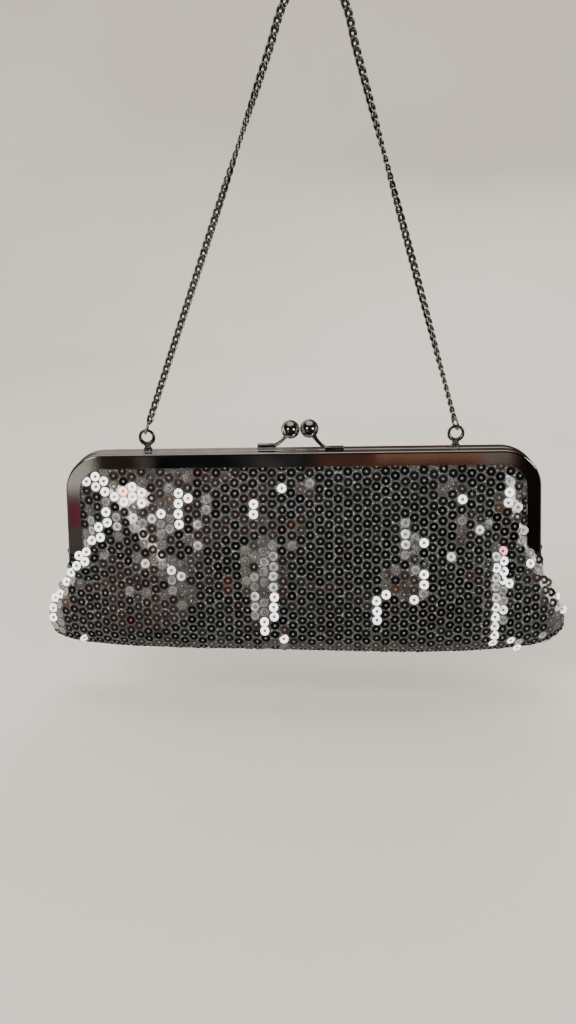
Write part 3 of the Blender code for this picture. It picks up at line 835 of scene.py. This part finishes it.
def cloth_grid(folds, inset=0.0, columns=COLUMNS):
    """The cloth's surface as a grid of points (x, out, z) about the hinge."""
    heights, widths, outs = cloth_rows(inset)
    a = np.linspace(-1.0, 1.0, columns)
    a = np.sign(a) * (1.0 - (1.0 - np.abs(a)) ** 1.25)
    z = np.repeat(heights[:, None], columns, 1)
    x = widths[:, None] * a[None, :]
    power = np.where(heights > 0.006, 1.0, 1.0 - 0.375 * smoothstep(-heights, -0.006, 0.012))[:, None]
    swell = np.maximum(1.0 - np.abs(a[None, :]) ** 3, 0.0) ** power
    middle = row_out(z)
    out = outs[:, None] + np.maximum(middle - outs[:, None], 0.0) * swell
    low = smoothstep(SEAM_Z + 0.004 - z, 0.0, 0.036)
    z = z - LOW_SIDE_DROP * low * smoothstep(x, -0.05, 0.09)
    free = smoothstep(swell, 0.02, 0.30) * smoothstep(FRAME_HEIGHT - LIP_DEPTH - z, 0.0, 0.010)
    free = free * smoothstep(z, BOTTOM_Z, BOTTOM_Z + 0.010)
    out = out + fold_height(x, z, folds) * free
    return np.stack([x, out, z], -1)


def grid_normals(grid):
    across = np.gradient(grid, axis=1)
    down = np.gradient(grid, axis=0)
    return unit(np.cross(across, down))


# The band where frame_share rises from 0 to 1: the middle's low end, how much higher that is
# beside the rivets, the high end, and the rivets' distance from the middle
BEND_LOW_Z = -0.027
BEND_RISE = 0.022
BEND_HIGH_Z = 0.0055
BEND_EDGE_X = 0.117


def frame_share(x, z):
    """A share from 0 low on the pouch to 1 up by the half frame, whose low end rises beside the rivets."""
    edge = np.clip(np.abs(x) / BEND_EDGE_X, 0.0, 1.0) ** 5
    low = BEND_LOW_Z + BEND_RISE * edge
    return smoothstep(z, low, np.full_like(low, BEND_HIGH_Z))


# Cloth, lining, sequins and thread


def bend_with_frame(obj):
    """Bakes the piece's placement into its mesh; the piece is not bent with a half frame."""
    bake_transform(obj)


def make_sheet(name, facing, grid, material, thickness, nodes):
    rows, columns = grid.shape[:2]
    verts = to_world(grid.reshape(-1, 3), facing)
    obj = piece(name, verts, grid_faces(rows, columns), material)
    bend_with_frame(obj)
    solid = obj.modifiers.new("thickness", "SOLIDIFY")
    solid.thickness = thickness
    solid.offset = 0.0
    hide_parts(*nodes)
    return obj


SEQUIN_RADIUS = 0.00214
SEQUIN_HOLE = 0.00076
SEQUIN_THICKNESS = 0.00014
SEQUIN_STEPS = 18
SEQUIN_LIFT = 0.00042
LIFT_WITH_LEAN = 0.62
MOST_LIFT = 0.50  # a sequin that leans further than this goes into the net on one side
SEQUIN_JITTER = 0.00013
KNOT_SIDES = 6
KNOT_RINGS = ((0.00024, -0.00020), (0.00030, 0.00010), (0.00017, 0.00026))
KNOT_TIP = 0.00030
COLUMN_PITCH = 0.00440
ROW_PITCH = 0.00486
START_Z = 0.010  # the row that every column is counted from
SEAM_MARGIN = 0.0011


def column_routes(grid):
    """The lines down the cloth that the columns of sequins follow: points, row by row, or nan."""
    step = np.linalg.norm(np.diff(grid, axis=1), axis=-1)
    travelled = np.concatenate([np.zeros((len(grid), 1)), np.cumsum(step, axis=1)], axis=1)
    middle = grid.shape[1] // 2
    travelled = travelled - travelled[:, middle : middle + 1]
    reach = int(travelled.max() / COLUMN_PITCH)
    normals = grid_normals(grid)
    routes = []
    for index in range(-reach, reach + 1):
        goal = index * COLUMN_PITCH
        places = np.full((len(grid), 3), np.nan)
        facing = np.full((len(grid), 3), np.nan)
        for r in range(len(grid)):
            if abs(goal) > min(travelled[r, -1], -travelled[r, 0]) - SEAM_MARGIN:
                continue
            for k in range(3):
                places[r, k] = np.interp(goal, travelled[r], grid[r, :, k])
                facing[r, k] = np.interp(goal, travelled[r], normals[r, :, k])
        routes.append((index, places, facing))
    return routes


def sequin_places(grid):
    """Centres and normals of the sequins: staggered columns, evenly spaced."""
    found = []
    start_row = int(np.argmin(np.abs(grid[:, 0, 2] - START_Z)))
    for index, places, facing in column_routes(grid):
        rows = np.flatnonzero(~np.isnan(places[:, 0]))
        if len(rows) < 4:
            continue
        line = places[rows]
        down = travel(line)
        first = down[np.searchsorted(rows, min(max(start_row, rows[0]), rows[-1]))]
        if rows[0] > start_row:
            first = line[0, 2] - START_Z
        down = down - first
        shift = 0.5 if index % 2 else 0.0
        low = math.ceil((down[0] + 0.0004) / ROW_PITCH - shift)
        high = math.floor((down[-1] - 0.0006) / ROW_PITCH - shift)
        for j in range(low, high + 1):
            goal = (j + shift) * ROW_PITCH
            centre = np.array([np.interp(goal, down, line[:, k]) for k in range(3)])
            normal = np.array([np.interp(goal, down, facing[rows, k]) for k in range(3)])
            depth = FRAME_HEIGHT - centre[2]
            beside = half_width(min(centre[2], FRAME_HEIGHT), LIP_INSET) - abs(centre[0])
            if depth < CHANNEL_HEIGHT + 0.0002 or (centre[2] > 0.006 and beside < SEAM_MARGIN):
                continue
            found.append((centre, unit(normal)))
    return found


# Patches of the front whose sequins lean towards the lamp, in millimetres: x, z, half sizes,
# slant in degrees, and how near to the lamp they point (1 is straight at it)
FRONT_GLINTS = [
    (-80, 34.5, 9.5, 4.4, 16, 1.0),
    (-96, 39.5, 6.0, 4.6, 0, 0.90),
    (-96, 18, 2.4, 12, 29, 1.0),
    (-110, -2, 2.4, 15, 40, 1.0),
    (-123.5, -24, 1.9, 14, 20, 1.0),
    (-89, 22, 3.5, 5.0, 0, 0.55),
    (-78, -14, 17, 18, 0, 0.10),
    (-57.2, 30.5, 1.9, 9.5, 0, 0.97),
    (-52.8, 35.5, 1.9, 2.5, 0, 0.95),
    (-48, 22, 2.0, 2.6, 0, 0.5),
    (-20.6, 28.5, 1.9, 9.5, 0, 1.0),
    (-15.5, 24, 2.2, 6.0, 0, 0.42),
    (-6.8, 38.7, 2.3, 2.6, 0, 1.0),
    (3, 36, 5.0, 3.2, 0, 0.30),
    (-16, -6, 7.0, 24, 5, 0.55),
    (-26, 4, 3.0, 7.0, 0, 0.42),
    (-15.0, -20, 2.4, 13, 6, 0.95),
    (-10.5, -33, 2.3, 7.0, 0, 0.85),
    (33.7, -18, 2.0, 10.5, 0, 1.0),
    (41, -12, 4.6, 2.3, -12, 0.9),
    (47.7, 13.5, 2.0, 10, 0, 0.60),
    (56.6, 12.7, 2.3, 2.6, 0, 0.9),
    (56.6, -5.5, 2.1, 4.5, 0, 0.85),
    (52, -15, 2.0, 2.6, 0, 0.8),
    (70, 38, 6.0, 3.0, 0, 0.42),
    (76.2, 31.5, 2.3, 2.6, 0, 0.9),
    (75.5, 18, 2.0, 7.0, 0, 0.48),
    (93, -13, 5.4, 23, 3, 0.63),
    (94.5, -2, 3.6, 9.5, 0, 0.92),
    (91.2, -27, 2.4, 12, 0, 0.78),
    (110, -7.3, 2.3, 2.6, 0, 1.0),
]
# Crumpled patches, where every sequin leans its own way: x, z, half sizes, slant, strength
FRONT_CRUMPLES = [
    (-74, 17, 3.4, 21, -38, 1.0),
    (-60, 3, 8.0, 9.0, 0, 0.42),
    (42, -2, 4.0, 10, 30, 0.60),
    (53, -8, 6.0, 10, 0, 0.50),
    (99, 30, 3.0, 14, -15, 1.0),
    (108, 9, 3.8, 11, -28, 1.0),
    (119, -14, 5.0, 18, -26, 0.95),
]
# Single sequins along the base that mirror a light from below: x, z, half sizes, slant, nearness
BASE_GLINT_X = [-108, -76, -33, -7, 12, 71, 99, 107]
BASE_GLINT_Z = [-40, -42, -42.5, -43, -42, -46, -45.5, -44]
FRONT_BASE_GLINTS = [(x, z, 2.4, 2.2, 0, 1.0) for x, z in zip(BASE_GLINT_X, BASE_GLINT_Z)]
# Where the net's colour is painted bright along its creases, a painted highlight: x, z, half sizes, slant,
# strength
FRONT_NET_HIGHLIGHTS = [
    (-80, 34.5, 10.5, 5.4, 16, 1.0),
    (-75, 17, 2.6, 20, -38, 0.60),
    (99, 30, 1.8, 14, -15, 0.75),
    (107, 9, 2.2, 11, -28, 0.75),
    (118, -14, 2.6, 17, -26, 0.60),
]
# Where the lamps are seen from the purse, and how far from one a sequin of level 0 points
LAMP = unit(np.array((-0.46, -0.84, 0.30)))
LOW_LAMP = unit(np.array((0.50, -0.20, -0.84)))
LAMP_REACH = math.radians(20.0)


def patch_share(x, z, patches):
    """How far each place is inside any of the patches, times that patch's strength."""
    share = np.zeros_like(np.asarray(x, float))
    for x0, z0, wide, tall, slant, strength in patches:
        turn = math.radians(slant)
        dx, dz = x * 1000 - x0, z * 1000 - z0
        along = dz * math.cos(turn) + dx * math.sin(turn)
        aside = dx * math.cos(turn) - dz * math.sin(turn)
        reach = (aside / wide) ** 2 + (along / tall) ** 2
        share = np.maximum(share, strength * (1.0 - smoothstep(reach, 0.85, 1.10)))
    return share


def lamp_lean(out, place, level, lamp=LAMP, least_seen=0.30):
    """The normal of a sequin that is leaned until it mirrors the lamp, or a ring about it."""
    view = unit(np.array(CAMERA_PLACE) - place)
    mirrored = 2.0 * (view @ out) * out - view
    close = float(np.clip(mirrored @ lamp, -1.0, 1.0))
    off = (1.0 - min(level, 1.0)) * LAMP_REACH
    if level <= 0.02 or off >= math.acos(close) or view @ out < least_seen:
        return out
    aside = unit(mirrored - lamp * close)
    return unit(view + lamp * math.cos(off) + aside * math.sin(off))


# Tinted sequins: colour and share of all
TINTS = [
    ((0.82, 0.20, 0.38), 0.010),
    ((0.95, 0.62, 0.42), 0.014),
    ((0.35, 0.72, 0.92), 0.004),
    ((0.80, 0.62, 0.56), 0.020),
]


def sequin_tint():
    draw = RNG.random()
    tone = RNG.normal(0.80, 0.05)
    for colour, share in TINTS:
        if draw < share:
            return colour
        draw -= share
    return (tone, tone, tone * 1.01)


def sequin_normal(centre, place, out, facing):
    """The way a sequin faces: nearly as the cloth does, and towards a lamp in the patches."""
    lean = RNG.normal(0.0, 0.030, 3)
    if RNG.random() < 0.05:
        lean = lean * 3.0
    draw, wobble = RNG.random(), RNG.normal(0.0, 0.05)
    tilted = unit(out + lean)
    if facing > 0:
        return tilted
    x, z = centre[0], centre[2]
    level = patch_share(x, z, FRONT_GLINTS)
    crumple = patch_share(x, z, FRONT_CRUMPLES)
    if level > 0:
        tilted = unit(lamp_lean(out, place, level + wobble) + 0.25 * lean)
    if crumple > 0.05 and draw * 1.5 * crumple > level:
        tilted = unit(lamp_lean(out, place, draw * 1.5 * crumple) + 2.2 * crumple * lean)
    if patch_share(x, z, FRONT_BASE_GLINTS) > 0.5:
        tilted = lamp_lean(out, place, 1.0, LOW_LAMP, 0.10)
    return tilted


def sequin_lift(tilted, out):
    """How far a leaning sequin's centre moves out, so that its low side stays off the net."""
    slant = math.acos(max(-1.0, min(1.0, float(tilted @ out))))
    raised = MOST_LIFT
    if slant < math.pi / 2:
        raised = min(math.sin(slant), MOST_LIFT)
    return SEQUIN_LIFT + LIFT_WITH_LEAN * raised * SEQUIN_RADIUS


def knot_faces(start):
    """The faces of a knot: a point below, three rings and a point on top."""
    n = KNOT_SIDES
    top = start + 1 + 3 * n
    faces = []
    for k in range(n):
        k2 = (k + 1) % n
        faces.append((start, start + 1 + k2, start + 1 + k))
        for a in (start + 1, start + 1 + n):
            faces.append((a + k, a + k2, a + n + k2, a + n + k))
        faces.append((top - n + k, top - n + k2, top))
    return faces


def make_sequins(word, facing, grid):
    """Flat round sequins with a hole, each sewn on by a knot of thread."""
    n = SEQUIN_STEPS
    turn = around(n)
    knot_turn = around(KNOT_SIDES)
    knot_size = 3 * KNOT_SIDES + 2
    verts, faces, shares, tints = [], [], [], []
    knots, thread_faces, knot_shares = [], [], []
    shell = [(SEQUIN_RADIUS, 0.5), (SEQUIN_HOLE, 0.5), (SEQUIN_HOLE, -0.5), (SEQUIN_RADIUS, -0.5)]
    for centre, normal in sequin_places(grid):
        place = to_world(centre, facing)
        out = np.array((normal[0], facing * normal[1], normal[2]))
        if out[1] * facing < 0:
            out = -out
        tilted = sequin_normal(centre, place, out, facing)
        place = place + out * sequin_lift(tilted, out)
        first = unit(np.cross(tilted, (0.0, 0.0, 1.0)))
        second = np.cross(tilted, first)
        place = place + first * RNG.normal(0.0, SEQUIN_JITTER) + second * RNG.normal(0.0, SEQUIN_JITTER)
        spin = RNG.random() * 2 * np.pi / n
        spokes = np.outer(np.cos(turn + spin), first) + np.outer(np.sin(turn + spin), second)
        faces += grid_faces(4, n, True, True, start=len(verts) * n)
        for radius, level in shell:
            verts.append(place + radius * spokes + tilted * (level * SEQUIN_THICKNESS))
        weight = float(frame_share(np.array(centre[0]), np.array(centre[2])))
        shares += [weight] * (4 * n)
        tints += [(*sequin_tint(), 1.0)] * (4 * n)
        thread_faces += knot_faces(len(knots))
        knots.append(place - out * (SEQUIN_LIFT * 0.9))
        for radius, level in KNOT_RINGS:
            for angle in knot_turn + spin:
                spoke = math.cos(angle) * first + math.sin(angle) * second
                knots.append(place + spoke * radius + tilted * level)
        knots.append(place + tilted * KNOT_TIP)
        knot_shares += [weight] * knot_size
    sequins = piece(f"{word}_sequins", np.concatenate(verts), faces, SEQUIN, sharp=40)
    write_attribute(sequins, "tint", tints)
    bend_with_frame(sequins)
    thread = piece(f"{word}_sequin_knots", np.array(knots), thread_faces, THREAD)
    bend_with_frame(thread)
    return sequins, thread


LINING_GAP = 0.0021
LINING_INSET = 0.0022
LINING_COLUMNS = 141


def make_bag():
    for word, facing, folds in (("front", -1, FRONT_FOLDS), ("back", 1, BACK_FOLDS)):
        grid = cloth_grid(folds)
        nodes = (f"{word}_panel", "pouch")
        net = make_sheet(f"{word}_net", facing, grid, NET, 0.00035, nodes)
        # Painted highlight: how bright the net's colour is painted in the creased patches of the front.
        crease_highlights = patch_share(grid[..., 0], grid[..., 2], FRONT_NET_HIGHLIGHTS if facing < 0 else [])
        write_attribute(net, "crease_highlight", crease_highlights.ravel())
        sequins, thread = make_sequins(word, facing, grid)
        inner = cloth_grid(folds, inset=LINING_INSET, columns=LINING_COLUMNS)
        inner[..., 1] -= LINING_GAP * smoothstep(inner[..., 1], 0.0, 0.006)
        inner[..., 0] *= 1.0 - 0.018 * smoothstep(-inner[..., 2], 0.0, 0.010)
        inner[..., 1] += 0.0003 * np.sin(inner[..., 0] * 900) * smoothstep(inner[..., 1], 0.004, 0.014)
        nodes = (f"{word}_lining", "pouch_lining")
        lining = make_sheet(f"{word}_satin", facing, inner, SATIN, 0.0003, nodes)


# Light, floor and what the metal mirrors

# Round places that only the gloss sees: direction, cosines of the outer and inner edge, colour
MIRRORED = [
    (tuple(LAMP), 0.936, 0.955, (0.052, 0.028, 0.024)),
    (tuple(LAMP), 0.976, 0.9877, (0.38, 0.355, 0.31)),
    (tuple(LAMP), 0.9915, 0.9955, (4.6, 4.5, 4.35)),
    (tuple(LOW_LAMP), 0.988, 0.994, (3.6, 3.5, 3.4)),
    ((0.69, -0.68, 0.17), 0.984, 0.992, (4.2, 4.1, 3.9)),
    ((-0.88, 0.18, -0.28), 0.80, 0.92, (0.80, 0.74, 0.66)),
    ((0.93, 0.12, -0.20), 0.84, 0.94, (0.26, 0.24, 0.21)),
]
# Patches of the room in front (-1) and behind (1): x/|y| range, z/|y| range, soft edge, colour
PATCHES = [
    (1, (-9.0, -0.03), (0.05, 1.6), 0.05, (0.36, 0.325, 0.285)),
    (1, (-0.03, 9.0), (0.05, 1.6), 0.05, (0.085, 0.050, 0.040)),
    (-1, (-1.6, -0.62), (-1.4, -0.12), 0.20, (0.030, 0.021, 0.018)),
    (-1, (-0.300, -0.228), (-0.345, -0.22), 0.012, (0.026, 0.018, 0.014)),
    (-1, (-0.242, -0.226), (-0.345, -0.22), 0.010, (0.075, 0.068, 0.060)),
    (-1, (-0.60, -0.303), (-0.55, -0.22), 0.006, (0.070, 0.060, 0.052)),
    (-1, (-0.60, -0.303), (-0.338, -0.22), 0.010, (0.46, 0.425, 0.365)),
    (-1, (-0.342, -0.329), (-0.388, -0.348), 0.006, (0.17, 0.012, 0.046)),
    (-1, (-0.010, 0.250), (-0.345, -0.22), 0.012, (0.070, 0.030, 0.022)),
    (-1, (0.070, 0.225), (-0.300, -0.272), 0.007, (0.210, 0.100, 0.062)),
    (-1, (0.205, 0.245), (-0.310, -0.22), 0.008, (0.15, 0.115, 0.095)),
    (-1, (0.252, 0.60), (-0.55, -0.22), 0.010, (0.007, 0.0055, 0.005)),
]


def make_world():
    world = bpy.data.worlds.new("studio")
    bpy.context.scene.world = world
    world.use_nodes = True
    tree = world.node_tree
    tree.nodes.clear()
    way = node(tree, "ShaderNodeTexCoord").outputs["Generated"]
    parts = node(tree, "ShaderNodeSeparateXYZ", {0: way}).outputs

    def dot(direction):
        inputs = {0: way, 1: tuple(unit(np.array(direction, float)))}
        return node(tree, "ShaderNodeVectorMath", inputs, operation="DOT_PRODUCT").outputs["Value"]

    def within(value, low, high, edge):
        rise = map_range(tree, value, low - edge, low + edge, 0.0, 1.0)
        fall = map_range(tree, value, high - edge, high + edge, 1.0, 0.0)
        return math_node(tree, "MULTIPLY", rise, fall)

    clutter = noise(tree, 8.0, 4.0, 0.6, way)
    stops = [
        (0.30, (0.003, 0.003, 0.0035)),
        (0.50, (0.008, 0.009, 0.0095)),
        (0.62, (0.026, 0.025, 0.025)),
        (0.70, (0.055, 0.046, 0.040)),
        (1.0, (0.11, 0.09, 0.08)),
    ]
    colour = ramp(tree, clutter, stops)
    size = math_node(tree, "MAXIMUM", math_node(tree, "ABSOLUTE", parts["Y"]), 0.02)
    aside = math_node(tree, "DIVIDE", parts["X"], size)
    rise = math_node(tree, "DIVIDE", parts["Z"], size)
    for facing, wide, tall, edge, light in PATCHES:
        half = map_range(tree, math_node(tree, "MULTIPLY", parts["Y"], facing), 0.0, 0.06, 0.0, 1.0)
        share = math_node(tree, "MULTIPLY", within(aside, *wide, edge), within(rise, *tall, edge))
        colour = mix(tree, math_node(tree, "MULTIPLY", share, half), colour, light)
    above = map_range(tree, parts["Z"], 0.78, 0.90, 0.0, 1.0)
    colour = mix(tree, above, colour, (0.55, 0.52, 0.48))
    below = map_range(tree, parts["Z"], -0.90, -0.97, 0.0, 1.0)
    colour = mix(tree, below, colour, (0.10, 0.088, 0.075))
    for direction, outer, inner, light in MIRRORED:
        share = map_range(tree, dot(direction), outer, inner, 0.0, 1.0)
        colour = mix(tree, share, colour, light)
    background = node(tree, "ShaderNodeBackground", {"Color": colour, "Strength": 1.0})
    tree.links.new(background.outputs[0], node(tree, "ShaderNodeOutputWorld").inputs["Surface"])


LAMP_AIM = Vector((0.0, 0.0, -0.2))


def make_lamp(name, place, size, power, colour):
    data = bpy.data.lights.new(name, "AREA")
    data.shape = "DISK"
    data.size = size
    data.energy = power
    data.color = colour
    lamp = bpy.data.objects.new(name, data)
    bpy.context.scene.collection.objects.link(lamp)
    lamp.location = place
    lamp.rotation_mode = "QUATERNION"
    lamp.rotation_quaternion = (LAMP_AIM - Vector(place)).to_track_quat("-Z", "Y")
    lamp.visible_glossy = False
    lamp.visible_camera = False


FLOOR_RADIUS = 1.1
CURVE_RADIUS = 0.6
WALL_HEIGHT = 2.2
FLOOR_DROP = 0.030  # from the bottom of the purse


def make_stage():
    """A round pale floor that curves up into a wall all round."""
    material, tree, shader = new_material("pale_floor")
    cloud = noise(tree, 3.0, 4.0)
    colour = ramp(tree, cloud, [(0.3, (0.60, 0.565, 0.52)), (0.7, (0.64, 0.605, 0.56))])
    tree.links.new(colour, shader.inputs["Base Color"])
    shader.inputs["Roughness"].default_value = 0.9
    profile = [(0.001, 0.0), (0.5, 0.0), (FLOOR_RADIUS, 0.0)]
    for step in range(1, 17):
        angle = math.pi / 2 * step / 16
        reach, rise = CURVE_RADIUS * math.sin(angle), CURVE_RADIUS * math.cos(angle)
        profile.append((FLOOR_RADIUS + reach, CURVE_RADIUS - rise))
    profile.append((FLOOR_RADIUS + CURVE_RADIUS, WALL_HEIGHT))
    steps = 64
    x, y = np.cos(around(steps)), np.sin(around(steps))
    floor_z = HINGE.z + BOTTOM_Z - FLOOR_DROP
    rings = [np.stack([r * x, r * y, np.full(steps, floor_z + h)], 1) for r, h in profile]
    faces = grid_faces(len(profile), steps, close_columns=True)
    faces.append(tuple(range(steps))[::-1])
    floor = piece("floor", np.concatenate(rings), faces, material)
    floor.visible_glossy = False
    floor.visible_shadow = False


# Build

make_camera()
CHAIN = make_chain()
LINKS = [make_end_link("left", -1), make_end_link("right", 1)]
chain_line(120)[0].tolist()
make_half_frame("front", -1, HALF_WIDTH_HINGE)
make_half_frame("back", 1, HALF_WIDTH_HINGE - EAR_THICKNESS - PART_GAP)
make_clasp("front", -1)
make_clasp("back", 1)
make_loop("left", -1)
make_loop("right", 1)
make_bag()
for sides, cad_name, cad_material in (
    (("left", "right"), "hinge_rivet", NICKEL),
    (("front", "back"), "paper_cord", PAPER),
):
    for word in sides:
        for material_slot in frame["nodes"][f"{word}_{cad_name}"].material_slots:
            material_slot.material = cad_material

make_world()
make_stage()
make_lamp("key", (-0.9, -1.0, 0.9), 0.9, 26.0, (1.0, 0.97, 0.93))
make_lamp("fill", (1.0, -0.9, 0.3), 1.0, 10.0, (1.0, 0.98, 0.95))
make_lamp("top", (0.0, 0.2, 1.3), 1.2, 16.0, (1.0, 0.98, 0.96))
make_lamp("back", (0.3, 1.2, 0.6), 1.0, 12.0, (1.0, 0.98, 0.96))
